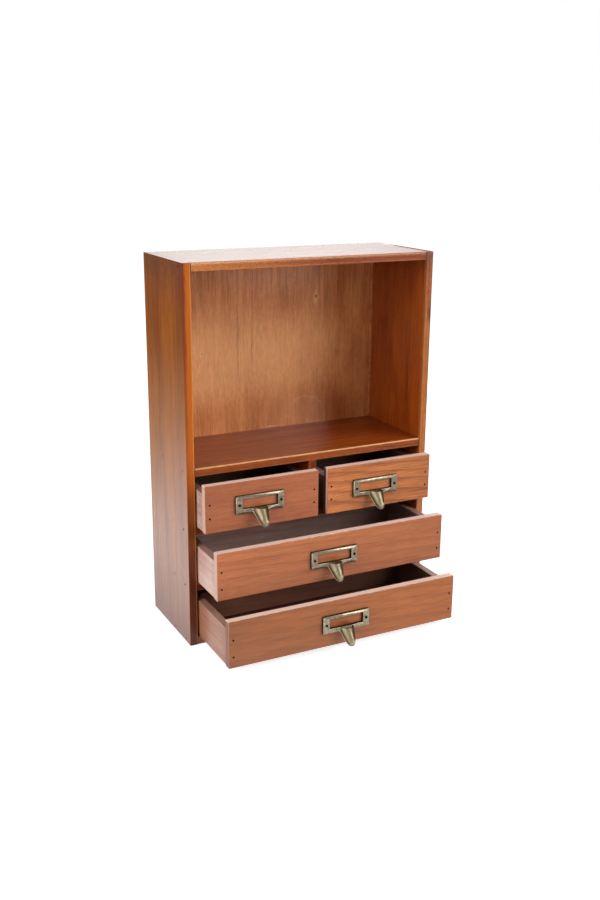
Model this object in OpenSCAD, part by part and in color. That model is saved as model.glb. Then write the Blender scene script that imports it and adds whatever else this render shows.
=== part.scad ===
// Desktop mini drawers: a nailed wooden cabinet with an open upper compartment,
// two small drawers side by side and two wide drawers below them.
// X runs across the width, Y from front to back, Z up. The origin is on the
// underside of the cabinet, centred across the width and on the boards' depth.

/* [Cabinet] */
// Width over the two side boards
cabinet_w = 250; // [200:1:320]
// Depth of the side boards and shelves, without the back panel
board_d = 97; // [80:1:140]
// Thickness of the side boards
side_board_t = 7.5; // [6:0.5:12]
// Thickness of the shelves, top and bottom
shelf_t = 7.5; // [6:0.5:12]
// Thickness of the upright between the small drawers
divider_t = 7.5; // [6:0.5:12]
// Clear height of the open upper compartment
open_bay_h = 172.5; // [80:0.5:260]
// Clear height of the bay for the two small drawers
small_bay_h = 47.5; // [42:0.5:80]
// Clear height of each bay for a wide drawer
wide_bay_h = 46.25; // [42:0.25:80]
// Radius of the eased front edges of the boards
edge_r = 0.6; // [0.2:0.1:2]
// Radius of the rounded upper front edge of the top board
top_edge_r = 1.6; // [0.5:0.1:3]

/* [Back panel] */
// Thickness of the back panel
panel_t = 3; // [2:0.5:6]
// Distance of the back panel's upright edges from the cabinet's sides
panel_side_inset = 2; // [0:0.5:3]
// Distance of the back panel's ends from the cabinet's top and bottom
panel_end_inset = 1; // [0:0.5:3]

/* [Drawers] */
// Gap between a drawer front and the cabinet at each side
side_gap = 1.1; // [0.5:0.1:2]
// Gap below a drawer
lift = 0.3; // [0.2:0.1:1]
// Gap above a small drawer's front
small_top_gap = 3.2; // [1:0.1:6]
// Gap above a wide drawer's front
wide_top_gap = 1.95; // [1:0.05:6]
// Space between a closed drawer and the back panel
rear_gap = 6; // [1:0.5:20]
// Thickness of a drawer front
front_t = 7.5; // [7:0.5:12]
// Thickness of a drawer's side boards
drawer_side_t = 7; // [5:0.5:9]
// Thickness of a drawer's back board
drawer_back_t = 7; // [5:0.5:9]
// How far the drawer front reaches past each side board
front_overhang = 0.6; // [0:0.1:2]
// Step from the top of the drawer front down to the side boards
side_step = 8.4; // [0:0.2:14]
// Thickness of a drawer's bottom panel
floor_t = 3; // [2:0.5:5]
// Height of the bottom panel's groove above the drawer's underside
groove_z = 4; // [3:0.5:6]
// Depth of the bottom panel's groove
groove_d = 3; // [2:0.5:3.5]
// Slack of the bottom panel in its groove
groove_slack = 0.2; // [0.1:0.05:0.5]

/* [Drawers as they stand open] */
// How far the small left drawer stands open
small_left_open = 21; // [0:1:75]
// How far the small right drawer stands open
small_right_open = 21; // [0:1:75]
// How far the upper wide drawer stands open
upper_wide_open = 46; // [0:1:75]
// How far the lower wide drawer stands open
lower_wide_open = 70; // [0:1:75]

/* [Label holder] */
// Width of the brass label holder
holder_w = 47.6; // [40:0.1:54]
// Height of the label holder's frame
holder_h = 16.7; // [14:0.1:20]
// How far the frame stands off the wood
holder_stand = 2.4; // [1.8:0.1:4]
// Thickness of the frame's face in front of the label slot
holder_face_t = 0.9; // [0.6:0.1:1.2]
// Radius of the frame's outer corners
holder_corner_r = 1.6; // [0.5:0.1:2]
// Width of the window
window_w = 34.4; // [20:0.1:36]
// Width of the frame's rail above the window
upper_rail = 2.9; // [2:0.1:4]
// Width of the frame's rail below the window
lower_rail = 4.4; // [3.6:0.1:6]
// How far the label slot reaches past the window
slot_margin = 1.2; // [0.5:0.1:1.5]
// Width of the bevel round the frame and its window
holder_bevel = 0.4; // [0.2:0.05:0.5]
// Sideways place of the small left drawer's label holder
small_left_pull_shift = -3.7; // [-10:0.1:10]
// Height of the small left drawer's label holder above the middle of its front
small_left_pull_lift = 1.1; // [-2:0.1:2]
// Sideways place of the small right drawer's label holder
small_right_pull_shift = -5.3; // [-10:0.1:10]
// Height of the small right drawer's label holder above the middle of its front
small_right_pull_lift = -0.7; // [-2:0.1:2]
// Sideways place of the wide drawers' label holders
wide_pull_shift = -1.4; // [-10:0.1:10]
// Height of the wide drawers' label holders above the middle of their fronts
wide_pull_lift = 0; // [-2:0.1:2]

/* [Finger pull] */
// How far the pull's rim stands out from the wood at its tip
pull_out = 13.4; // [10:0.2:16]
// Drop of the rim's tip below the frame's lower edge
pull_drop = 11.2; // [9:0.2:14]
// Width of the pull at its shoulder
pull_w = 13.6; // [10:0.2:16]
// Part of its width that the pull loses on the way to its tip
pull_taper = 0.5; // [0.2:0.05:0.7]
// Height of the pull's crown above its rim
pull_crown = 8.1; // [7:0.1:10]
// Thickness of the pull's shell
pull_wall = 0.9; // [0.6:0.1:1.2]
// Width of the turned lip along the pull's rim
lip_w = 0.5; // [0.2:0.1:1]
// Thickness of the turned lip
lip_t = 0.7; // [0.4:0.1:1]

/* [Nails] */
// Diameter of a nail's shank
nail_d = 1.3; // [1:0.1:1.6]
// Diameter of a nail's head
nail_head_d = 2; // [1.8:0.1:3]
// Thickness of a nail's head
nail_head_t = 0.6; // [0.4:0.1:1]
// How far a nail's head is punched below the wood
nail_sink = 0.3; // [0.1:0.1:0.6]
// Length of a nail in the cabinet and the drawers
nail_len = 20; // [16:1:25]
// Length of a nail in the back panel
panel_nail_len = 15; // [10:1:20]
// Distance of the front nails from the cabinet's front edge
front_nail_setback = 10.5; // [6:0.5:20]
// Distance of the second nails from the cabinet's front edge
second_nail_setback = 38; // [30:0.5:70]
// Distance of the shelf's second nails from the cabinet's front edge
shelf_nail_setback = 61.5; // [30:0.5:70]
// Distance of the back panel's corner nails from the top and bottom boards
corner_nail_gap = 6; // [4:0.5:12]
// Height of the lower nails above a small drawer's underside
small_nail_z = 14; // [9:0.5:16]
// Height of the lower nails above a wide drawer's underside
wide_nail_z = 10.5; // [9:0.5:16]
// Height of the upper nails above a drawer's underside
high_nail_z = 26.5; // [20:0.5:28]
// Distance from the holder's ends to its pins
pin_inset = 3.3; // [2.5:0.1:4]
// Diameter of a holder pin's shank
pin_d = 1.2; // [0.8:0.1:1.6]
// Diameter of a holder pin's round head
pin_head_d = 2.6; // [1.8:0.1:3.2]
// How deep a holder pin goes into the drawer front
pin_bite = 5; // [3:0.5:6]
// Gap between a nail or pin and its hole, all round
nail_fit = 0.05; // [0.02:0.01:0.1]

/* [Hidden] */
$fn = 48;
wood = "#a9683f";
wood_dark = "#8a4f2b";
wood_pale = "#c99f80";
brass = "#a39c82";
steel = "#3a2f28";
// Overshoot of a cutting solid past the face that it cuts
cut = 1;

// Cabinet heights, from the underside up
wide_low_z = shelf_t;
wide_board_z = wide_low_z + wide_bay_h;
wide_high_z = wide_board_z + shelf_t;
small_board_z = wide_high_z + wide_bay_h;
small_z = small_board_z + shelf_t;
shelf_z = small_z + small_bay_h;
open_z = shelf_z + shelf_t;
top_z = open_z + open_bay_h;
cabinet_h = top_z + shelf_t;
// Cabinet places across the width and the depth
inner_w = cabinet_w - 2 * side_board_t;
front_y = -board_d / 2;
rear_y = board_d / 2;

// Drawers
drawer_d = board_d - rear_gap;
small_bay_w = (inner_w - divider_t) / 2;
small_front_w = small_bay_w - 2 * side_gap;
wide_front_w = inner_w - 2 * side_gap;
small_front_h = small_bay_h - lift - small_top_gap;
wide_front_h = wide_bay_h - lift - wide_top_gap;
small_x = (small_bay_w + divider_t) / 2;
// Each drawer: centre x, underside z, front width, front height, opening, sideways
// place and height of its label holder, and height of its lower nails
function small_drawer(side, open, shift, rise) = [
    side * small_x, small_z + lift, small_front_w, small_front_h, open, shift, rise, small_nail_z
];
function wide_drawer(z, open) = [
    0, z + lift, wide_front_w, wide_front_h, open, wide_pull_shift, wide_pull_lift, wide_nail_z
];
SMALL_LEFT = small_drawer(-1, small_left_open, small_left_pull_shift, small_left_pull_lift);
SMALL_RIGHT = small_drawer(1, small_right_open, small_right_pull_shift, small_right_pull_lift);
UPPER_WIDE = wide_drawer(wide_high_z, upper_wide_open);
LOWER_WIDE = wide_drawer(wide_low_z, lower_wide_open);
function front_w(d) = d[2];
function front_h(d) = d[3];
function side_h(d) = front_h(d) - side_step;
function box_w(d) = front_w(d) - 2 * front_overhang;
function inside_w(d) = box_w(d) - 2 * drawer_side_t;
// Centre of a side board's end behind the drawer front, from the drawer's middle
function side_mid(d) = (box_w(d) - drawer_side_t) / 2;
inside_d = drawer_d - front_t - drawer_back_t;
groove_h = floor_t + groove_slack;

// Label holder and finger pull
window_top = holder_h / 2 - upper_rail;
window_bottom = lower_rail - holder_h / 2;
slot_t = holder_stand - holder_face_t;
pin_x = holder_w / 2 - pin_inset;
// The pull's rim runs in a sloping plane from its root behind the lower rail to its tip
root_out = 1.4;
root_lap = 1.25;
root_drop = holder_h / 2 - root_lap;
tip_drop = holder_h / 2 + pull_drop;
pull_len = norm([pull_out - root_out, tip_drop - root_drop]);
pull_tilt = atan2(pull_out - root_out, tip_drop - root_drop);
// The shell is turned about an axis that lies this far above the rim plane
pull_rise = pull_crown - pull_w / 2;
// Along that axis the shell widens behind the root, over the length of the shoulder
root_len = 2;
shoulder_len = 3;
shoulder_steps = 4;
nose_steps = 14;
// How full the shell is at its root, as part of its full radius
root_fullness = 0.62;
// How late the shell rounds off towards its tip
nose_power = 8.5;
function shoulder_rise(s) = root_fullness + (1 - root_fullness) * sqrt(1 - pow(1 - s, 2));
function nose_fall(s) = (1 - pull_taper * s) * sqrt(1 - pow(s, nose_power));

// ---- shared forms ----

// Cross-section of a board, its front edge at x = 0, with eased front corners
module board_section(depth, thick, r_low, r_high) {
    difference() {
        square([depth, thick]);
        difference() {
            translate([-cut, -cut]) square([r_low + cut, r_low + cut]);
            translate([r_low, r_low]) circle(r = r_low);
        }
        difference() {
            translate([-cut, thick - r_high]) square([r_high + cut, r_high + cut]);
            translate([r_high, thick - r_high]) circle(r = r_high);
        }
    }
}

// Level board, centred on x, from y = 0 back and z = 0 up
module level_board(width, depth, thick, r_high = edge_r) {
    translate([-width / 2, 0, 0])
        rotate([90, 0, 90])
            linear_extrude(width) board_section(depth, thick, edge_r, r_high);
}

// Upright board, centred on x, from y = 0 back and z = 0 up
module upright_board(thick, depth, height) {
    translate([thick / 2, 0, 0])
        rotate([0, 0, 90])
            linear_extrude(height) board_section(depth, thick, edge_r, edge_r);
}

// Flat-headed nail driven down into wood whose face is at z = 0. With a fit it is
// the nail's hole, wider all round and open through that face.
module nail(length, fit = 0) {
    translate([0, 0, -nail_sink - length - fit])
        cylinder(d = nail_d + 2 * fit, h = length + fit);
    translate([0, 0, -nail_sink - nail_head_t - fit])
        cylinder(d = nail_head_d + 2 * fit, h = nail_head_t + fit + (fit > 0 ? nail_sink + cut : 0));
}

// ---- cabinet nails ----

// Nails through one side board into the ends of the five level boards
module side_nail_set(fit = 0) {
    for (side = [-1, 1], z = [0, wide_board_z, small_board_z, shelf_z, top_z]) {
        second = z == shelf_z ? shelf_nail_setback : second_nail_setback;
        for (setback = [front_nail_setback, second])
            translate([side * cabinet_w / 2, front_y + setback, z + shelf_t / 2])
                rotate([0, side * 90, 0]) nail(nail_len, fit);
    }
}

// Nails up through the board below the small drawers into the upright divider
module divider_nail_set(fit = 0) {
    for (setback = [front_nail_setback, board_d - front_nail_setback])
        translate([0, front_y + setback, small_board_z])
            rotate([180, 0, 0]) nail(nail_len, fit);
}

// Nails through the back panel into the rear edges of the boards behind it
module panel_nail_set(fit = 0) {
    side_z = [
        shelf_t + corner_nail_gap,
        small_z + small_bay_h / 2,
        open_z + open_bay_h / 2,
        top_z - corner_nail_gap
    ];
    for (side = [-1, 1], z = side_z)
        panel_nail(side * (cabinet_w - side_board_t) / 2, z, fit);
    for (side = [-1, 1], z = [0, shelf_z, top_z])
        panel_nail(side * inner_w / 4, z + shelf_t / 2, fit);
}

module panel_nail(x, z, fit) {
    translate([x, rear_y + panel_t, z]) rotate([-90, 0, 0]) nail(panel_nail_len, fit);
}

module cabinet_nail_holes() {
    side_nail_set(nail_fit);
    divider_nail_set(nail_fit);
    panel_nail_set(nail_fit);
}

// ---- cabinet ----

module cabinet_side(side) {
    color(wood_dark) difference() {
        translate([side * (cabinet_w - side_board_t) / 2, front_y, 0])
            upright_board(side_board_t, board_d, cabinet_h);
        cabinet_nail_holes();
    }
}

module left_side() cabinet_side(-1);
module right_side() cabinet_side(1);

module cabinet_level(z, r_high = edge_r) {
    color(wood) difference() {
        translate([0, front_y, z]) level_board(inner_w, board_d, shelf_t, r_high);
        cabinet_nail_holes();
    }
}

module top_board() cabinet_level(top_z, top_edge_r);
module bottom_board() cabinet_level(0);
module shelf_board() cabinet_level(shelf_z);
module small_drawer_board() cabinet_level(small_board_z);
module wide_drawer_board() cabinet_level(wide_board_z);

module drawer_divider() {
    color(wood) difference() {
        translate([0, front_y, small_z]) upright_board(divider_t, board_d, small_bay_h);
        cabinet_nail_holes();
    }
}

module back_panel() {
    panel_w = cabinet_w - 2 * panel_side_inset;
    panel_h = cabinet_h - 2 * panel_end_inset;
    color(wood_pale) difference() {
        translate([-panel_w / 2, rear_y, panel_end_inset]) cube([panel_w, panel_t, panel_h]);
        cabinet_nail_holes();
    }
}

module cabinet_nails() {
    color(steel) {
        side_nail_set();
        divider_nail_set();
    }
}

module back_panel_nails() {
    color(steel) panel_nail_set();
}

// ---- drawers ----
// In a drawer's own frame x = 0 is its middle, y = 0 the face of its front and
// z = 0 its underside.

module in_drawer(d) {
    translate([d[0], front_y - d[4], d[1]]) children();
}

module drawer_nail_set(d, fit = 0) {
    for (side = [-1, 1], z = [d[7], high_nail_z]) {
        translate([side * side_mid(d), 0, z])
            rotate([90, 0, 0]) nail(nail_len, fit);
        translate([side * box_w(d) / 2, drawer_d - drawer_back_t / 2, z])
            rotate([0, side * 90, 0]) nail(nail_len, fit);
    }
}

// Groove for the bottom panel, run in all four boards of the box
module floor_groove(d) {
    translate([-inside_w(d) / 2 - groove_d, front_t - groove_d, groove_z])
        cube([inside_w(d) + 2 * groove_d, inside_d + 2 * groove_d, groove_h]);
}

module drawer_front(d) {
    color(wood) in_drawer(d) difference() {
        level_board(front_w(d), front_t, front_h(d));
        floor_groove(d);
        drawer_nail_set(d, nail_fit);
        in_holder(d) pin_set(nail_fit);
    }
}

module drawer_side(d, side) {
    color(wood_pale) in_drawer(d) difference() {
        translate([side * side_mid(d) - drawer_side_t / 2, front_t, 0])
            cube([drawer_side_t, drawer_d - front_t, side_h(d)]);
        floor_groove(d);
        drawer_nail_set(d, nail_fit);
    }
}

module drawer_back(d) {
    color(wood_pale) in_drawer(d) difference() {
        translate([-inside_w(d) / 2, drawer_d - drawer_back_t, 0])
            cube([inside_w(d), drawer_back_t, side_h(d)]);
        floor_groove(d);
        drawer_nail_set(d, nail_fit);
    }
}

module drawer_bottom(d) {
    reach = groove_d - groove_slack;
    color(wood_dark) in_drawer(d)
        translate([-inside_w(d) / 2 - reach, front_t - reach, groove_z])
            cube([inside_w(d) + 2 * reach, inside_d + 2 * reach, floor_t]);
}

module drawer_nails(d) {
    color(steel) in_drawer(d) drawer_nail_set(d);
}

// ---- label holder with its finger pull ----
// In the holder's own frame the origin is at the middle of the frame on the
// wood, and the holder stands out towards -y.

module in_holder(d) {
    translate([d[5], 0, front_h(d) / 2 + d[6]]) children();
}

// Flat outline w by h with round corners
module rounded_outline(w, h, r) {
    square([w - 2 * r, h], center = true);
    square([w, h - 2 * r], center = true);
    for (x = [-1, 1], y = [-1, 1])
        translate([x * (w / 2 - r), y * (h / 2 - r)]) circle(r = r);
}

// Outline of a plate's section, from its back at y = 0 to its bevelled front
function plate_section(w) = [
    [-w / 2, 0],
    [-w / 2, holder_bevel - holder_stand],
    [holder_bevel - w / 2, -holder_stand],
    [w / 2 - holder_bevel, -holder_stand],
    [w / 2, holder_bevel - holder_stand],
    [w / 2, 0]
];

// Outline of a bevelled opening's section, which widens through the front face
function mouth_section(w) = [
    [-w / 2, cut],
    [-w / 2, holder_bevel - holder_stand],
    [-w / 2 - holder_bevel - cut, -holder_stand - cut],
    [w / 2 + holder_bevel + cut, -holder_stand - cut],
    [w / 2, holder_bevel - holder_stand],
    [w / 2, cut]
];

// Block with one section seen from above and one seen from the side, both mitred together
module crossed_sections(above, beside, reach) {
    intersection() {
        linear_extrude(reach, center = true) polygon(above);
        rotate([0, 90, 0]) linear_extrude(reach, center = true) polygon(beside);
    }
}

module holder_plate() {
    window_h = window_top - window_bottom;
    difference() {
        intersection() {
            rotate([90, 0, 0])
                linear_extrude(holder_stand) rounded_outline(holder_w, holder_h, holder_corner_r);
            crossed_sections(plate_section(holder_w), plate_section(holder_h), 2 * holder_w);
        }
        translate([0, 0, (window_top + window_bottom) / 2])
            crossed_sections(mouth_section(window_w), mouth_section(window_h), 2 * holder_w);
        // slot for the label, open at the top
        translate([-window_w / 2 - slot_margin, -slot_t, window_bottom - slot_margin])
            cube([window_w + 2 * slot_margin, slot_t + cut, holder_h]);
    }
}

// Solid turned about the pull's axis; grow is added to its radius and its length
module pull_form(grow) {
    radius = pull_w / 2 + grow;
    nose_start = shoulder_len - root_len;
    nose_len = pull_len + grow - nose_start;
    shoulder = [
        for (i = [0 : shoulder_steps]) let (s = i / shoulder_steps)
            [radius * shoulder_rise(s), s * shoulder_len - root_len]
    ];
    nose = [
        for (i = [1 : nose_steps]) let (s = sin(90 * i / nose_steps))
            [radius * nose_fall(s), nose_start + s * nose_len]
    ];
    translate([0, pull_rise, 0])
        rotate_extrude() polygon(concat([[0, -root_len]], shoulder, nose));
}

// Turns the revolved form: its axis runs down and out along the sloping rim plane
module on_rim_plane() {
    translate([0, -root_out, -root_drop]) rotate([180 - pull_tilt, 0, 0]) children();
}

// Everything on the outer side of the rim plane, to the given height above it
module rim_side(height) {
    translate([-holder_w / 2, 0, -2 * root_len]) cube([holder_w, height, 2 * pull_len]);
}

module finger_pull() {
    difference() {
        on_rim_plane() {
            intersection() {
                pull_form(0);
                rim_side(pull_crown + cut);
            }
            intersection() {
                pull_form(lip_w);
                rim_side(lip_t);
            }
        }
        on_rim_plane() pull_form(-pull_wall);
        // flush with the back of the frame's face and with the window's lower edge
        translate([-holder_w / 2, -slot_t, -2 * tip_drop]) cube([holder_w, holder_w, 3 * tip_drop]);
        translate([-holder_w / 2, -holder_w / 2, window_bottom]) cube([holder_w, holder_w, tip_drop]);
    }
}

module pin_set(fit = 0) {
    shank = holder_stand + pin_bite + fit;
    for (side = [-1, 1])
        translate([side * pin_x, -holder_stand, 0]) rotate([90, 0, 0]) {
            translate([0, 0, -shank]) cylinder(d = pin_d + 2 * fit, h = shank);
            if (fit == 0)
                intersection() {
                    sphere(d = pin_head_d);
                    translate([0, 0, pin_head_d / 2]) cube(pin_head_d, center = true);
                }
        }
}

module label_holder(d) {
    color(brass) in_drawer(d) in_holder(d) difference() {
        union() {
            holder_plate();
            finger_pull();
        }
        pin_set(nail_fit);
    }
}

module holder_pins(d) {
    color(steel) in_drawer(d) in_holder(d) pin_set();
}

module small_left_front() drawer_front(SMALL_LEFT);
module small_left_left_side() drawer_side(SMALL_LEFT, -1);
module small_left_right_side() drawer_side(SMALL_LEFT, 1);
module small_left_back() drawer_back(SMALL_LEFT);
module small_left_bottom() drawer_bottom(SMALL_LEFT);
module small_left_label_holder() label_holder(SMALL_LEFT);
module small_left_holder_pins() holder_pins(SMALL_LEFT);
module small_left_nails() drawer_nails(SMALL_LEFT);

module small_right_front() drawer_front(SMALL_RIGHT);
module small_right_left_side() drawer_side(SMALL_RIGHT, -1);
module small_right_right_side() drawer_side(SMALL_RIGHT, 1);
module small_right_back() drawer_back(SMALL_RIGHT);
module small_right_bottom() drawer_bottom(SMALL_RIGHT);
module small_right_label_holder() label_holder(SMALL_RIGHT);
module small_right_holder_pins() holder_pins(SMALL_RIGHT);
module small_right_nails() drawer_nails(SMALL_RIGHT);

module upper_wide_front() drawer_front(UPPER_WIDE);
module upper_wide_left_side() drawer_side(UPPER_WIDE, -1);
module upper_wide_right_side() drawer_side(UPPER_WIDE, 1);
module upper_wide_back() drawer_back(UPPER_WIDE);
module upper_wide_bottom() drawer_bottom(UPPER_WIDE);
module upper_wide_label_holder() label_holder(UPPER_WIDE);
module upper_wide_holder_pins() holder_pins(UPPER_WIDE);
module upper_wide_nails() drawer_nails(UPPER_WIDE);

module lower_wide_front() drawer_front(LOWER_WIDE);
module lower_wide_left_side() drawer_side(LOWER_WIDE, -1);
module lower_wide_right_side() drawer_side(LOWER_WIDE, 1);
module lower_wide_back() drawer_back(LOWER_WIDE);
module lower_wide_bottom() drawer_bottom(LOWER_WIDE);
module lower_wide_label_holder() label_holder(LOWER_WIDE);
module lower_wide_holder_pins() holder_pins(LOWER_WIDE);
module lower_wide_nails() drawer_nails(LOWER_WIDE);

left_side();
right_side();
top_board();
bottom_board();
shelf_board();
small_drawer_board();
wide_drawer_board();
drawer_divider();
back_panel();
cabinet_nails();
back_panel_nails();
small_left_front();
small_left_left_side();
small_left_right_side();
small_left_back();
small_left_bottom();
small_left_label_holder();
small_left_holder_pins();
small_left_nails();
small_right_front();
small_right_left_side();
small_right_right_side();
small_right_back();
small_right_bottom();
small_right_label_holder();
small_right_holder_pins();
small_right_nails();
upper_wide_front();
upper_wide_left_side();
upper_wide_right_side();
upper_wide_back();
upper_wide_bottom();
upper_wide_label_holder();
upper_wide_holder_pins();
upper_wide_nails();
lower_wide_front();
lower_wide_left_side();
lower_wide_right_side();
lower_wide_back();
lower_wide_bottom();
lower_wide_label_holder();
lower_wide_holder_pins();
lower_wide_nails();
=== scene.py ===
import math

import bmesh
import bpy
from mathutils import Euler, Matrix, Vector


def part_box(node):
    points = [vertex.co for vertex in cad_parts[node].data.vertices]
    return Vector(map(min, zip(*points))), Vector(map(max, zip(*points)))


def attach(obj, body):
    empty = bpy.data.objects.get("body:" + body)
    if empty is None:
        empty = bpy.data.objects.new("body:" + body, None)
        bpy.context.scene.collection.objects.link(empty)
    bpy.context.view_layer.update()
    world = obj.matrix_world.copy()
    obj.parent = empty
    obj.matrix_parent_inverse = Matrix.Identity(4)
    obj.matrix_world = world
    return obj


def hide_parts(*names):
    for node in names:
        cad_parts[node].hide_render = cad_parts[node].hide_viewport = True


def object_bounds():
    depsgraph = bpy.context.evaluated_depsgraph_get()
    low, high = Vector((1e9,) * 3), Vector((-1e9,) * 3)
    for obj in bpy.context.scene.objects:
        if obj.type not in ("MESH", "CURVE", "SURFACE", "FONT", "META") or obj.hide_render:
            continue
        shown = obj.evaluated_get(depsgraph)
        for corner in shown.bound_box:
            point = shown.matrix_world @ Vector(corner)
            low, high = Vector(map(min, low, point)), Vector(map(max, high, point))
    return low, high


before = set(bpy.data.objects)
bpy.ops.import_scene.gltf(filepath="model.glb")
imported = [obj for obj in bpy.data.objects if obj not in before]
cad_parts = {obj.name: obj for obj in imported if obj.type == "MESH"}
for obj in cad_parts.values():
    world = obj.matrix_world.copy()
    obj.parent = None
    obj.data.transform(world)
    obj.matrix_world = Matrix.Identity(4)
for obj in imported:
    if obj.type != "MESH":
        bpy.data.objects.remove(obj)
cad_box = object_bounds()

scene = bpy.context.scene
scene.view_settings.view_transform = "Standard"


# ---- Viewpoint ----
# The cabinet is seen from about a metre away, from its front left and a little above,
# in a frame 600 wide and 900 high.
AZIMUTH = math.radians(-27.21)
ELEVATION = math.radians(16.50)
ROLL = math.radians(0.493)
EYE = (-0.43516, -0.86888, 0.44763)
viewpoint_data = bpy.data.cameras.new("viewpoint")
viewpoint_data.sensor_fit = "HORIZONTAL"
viewpoint_data.sensor_width = 36.0
viewpoint_data.lens = 62.587
viewpoint = bpy.data.objects.new("viewpoint", viewpoint_data)
turn = Matrix.Rotation(AZIMUTH, 4, "Z") @ Matrix.Rotation(math.pi / 2 - ELEVATION, 4, "X")
turn = turn @ Matrix.Rotation(ROLL, 4, "Z")
viewpoint.matrix_world = Matrix.Translation(EYE) @ turn
scene.collection.objects.link(viewpoint)
scene.camera = viewpoint


# ---- Studio ----
# A white paper floor, which in reflections glows as a painted pool of light that fades
# into a dim room with a pale wall behind. A key lamp stands high on the right, a second
# lamp on the left, and a weak one at the back.
def node(tree, kind, values=(), **settings):
    # values go into the inputs by their number or name, as a link or as a constant
    made = tree.nodes.new("ShaderNode" + kind)
    for name, value in settings.items():
        setattr(made, name, value)
    for key, value in dict(values).items():
        if isinstance(value, bpy.types.NodeSocket):
            tree.links.new(value, made.inputs[key])
        else:
            made.inputs[key].default_value = value
    return made


def maths(tree, operation, *values):
    return node(tree, "Math", dict(enumerate(values)), operation=operation).outputs[0]


def vectors(tree, operation, *values):
    made = node(tree, "VectorMath", dict(enumerate(values)), operation=operation)
    return made.outputs["Value" if operation in ("LENGTH", "DOT_PRODUCT") else "Vector"]


def parted(tree, vector):
    return node(tree, "SeparateXYZ", {0: vector}).outputs


def spread(tree, value, low, high, to_low=0.0, to_high=1.0, smooth=False):
    # a value from low to high becomes one from to_low to to_high, and is held past the ends
    ends = {"From Min": low, "From Max": high, "To Min": to_low, "To Max": to_high}
    curve = "SMOOTHSTEP" if smooth else "LINEAR"
    return node(tree, "MapRange", {"Value": value, **ends}, interpolation_type=curve).outputs[0]


def tint(tree, factor, colour, other, blend="MIX"):
    sockets = {0: factor, 6: colour, 7: other}
    return node(tree, "Mix", sockets, data_type="RGBA", blend_type=blend).outputs[2]


def by_ray(tree, plain, mirrored, seen):
    # one shader lights the cabinet, one shows in its brass, and one is what the eye sees
    rays = node(tree, "LightPath").outputs
    shiny = maths(tree, "MAXIMUM", rays["Is Glossy Ray"], rays["Is Transmission Ray"])
    unseen = node(tree, "MixShader", {0: shiny, 1: plain.outputs[0], 2: mirrored.outputs[0]})
    whole = node(tree, "MixShader", {0: rays["Is Camera Ray"], 1: unseen.outputs[0], 2: seen.outputs[0]})
    return whole.outputs[0]


def blank_material(name):
    made = bpy.data.materials.new(name)
    made.use_nodes = True
    made.node_tree.nodes.clear()
    return made, made.node_tree


WHITE = (1, 1, 1, 1)
HAZE = (1.0, 0.968, 0.940, 1)
FILL_STRENGTH = 0.09
DIM_ROOM = 0.12
PALE_WALL = 0.83
surround = bpy.data.worlds.new("surround")
surround.use_nodes = True
tree = surround.node_tree
tree.nodes.clear()
heading = parted(tree, node(tree, "TexCoord").outputs["Generated"])
room = spread(tree, heading[1], -0.2, 0.4, DIM_ROOM, PALE_WALL)
fill = node(tree, "Background", {"Color": WHITE, "Strength": FILL_STRENGTH})
haze = node(tree, "Background", {"Color": HAZE, "Strength": room})
white = node(tree, "Background", {"Color": WHITE, "Strength": 1.0})
node(tree, "OutputWorld", {"Surface": by_ray(tree, fill, haze, white)})
scene.world = surround

FLOOR_DROP = 0.0005
PAPER = (0.80, 0.80, 0.80, 1)
FAR_POOL_TINT = (1, 0.58, 0.28, 1)
POOL_MIDDLE = (-0.20, 0.15, 0)
POOL_REACH = 1.5
# the distance from the pool's middle, in metres, and the brightness of the painted glow there
FLOOR_POOL = (
    (0.00, 1.15), (0.12, 1.20), (0.25, 1.08), (0.39, 0.82),
    (0.57, 0.62), (0.77, 0.45), (0.95, 0.20), (1.20, 0.00),
)
floor_mesh = bpy.data.meshes.new("floor")
shape = bmesh.new()
bmesh.ops.create_grid(shape, x_segments=1, y_segments=1, size=6)
shape.to_mesh(floor_mesh)
shape.free()
floor = bpy.data.objects.new("floor", floor_mesh)
floor.location.z = cad_box[0][2] - FLOOR_DROP
scene.collection.objects.link(floor)
paper, tree = blank_material("white_paper")
spot = node(tree, "TexCoord").outputs["Object"]
from_pool = vectors(tree, "LENGTH", vectors(tree, "SUBTRACT", spot, POOL_MIDDLE))
pool = node(tree, "ValToRGB", {0: maths(tree, "DIVIDE", from_pool, POOL_REACH)})
stops = pool.color_ramp.elements
for count, (distance, value) in enumerate(FLOOR_POOL):
    stop = stops[count] if count < 2 else stops.new(distance / POOL_REACH)
    stop.position = distance / POOL_REACH
    stop.color = (value, value, value, 1)
# the painted glow turns warmer towards the back
further = spread(tree, parted(tree, spot)[1], 0.25, 0.8)
warm = tint(tree, further, pool.outputs[0], FAR_POOL_TINT, "MULTIPLY")
lift = spread(tree, vectors(tree, "LENGTH", spot), 0.3, 1.5, 0.78, 1.0, smooth=True)
matt = node(tree, "BsdfDiffuse", {"Color": PAPER})
glow = node(tree, "Emission", {"Color": WHITE, "Strength": lift})
seen = node(tree, "AddShader", {0: matt.outputs[0], 1: glow.outputs[0]})
# reflections see the floor as this painted pool of light, not as lit paper
pool_glow = node(tree, "Emission", {"Color": warm, "Strength": 1.0})
node(tree, "OutputMaterial", {"Surface": by_ray(tree, matt, pool_glow, seen)})
floor_mesh.materials.append(paper)

CABINET_MIDDLE = Vector((0, -0.03, 0.17))
for name, place, size, power in (
    ("key_lamp", (0.978, -0.974, 0.804), 1.0, 18),
    ("side_lamp", (-1.334, -0.387, 0.756), 1.1, 16),
    ("rear_lamp", (0.538, 1.123, 0.965), 0.6, 3.5),
):
    data = bpy.data.lights.new(name, "AREA")
    data.size = size
    data.energy = power
    lamp = bpy.data.objects.new(name, data)
    lamp.location = place
    lamp.rotation_euler = (CABINET_MIDDLE - Vector(place)).to_track_quat("-Z", "Y").to_euler()
    lamp.visible_camera = False
    scene.collection.objects.link(lamp)


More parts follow.
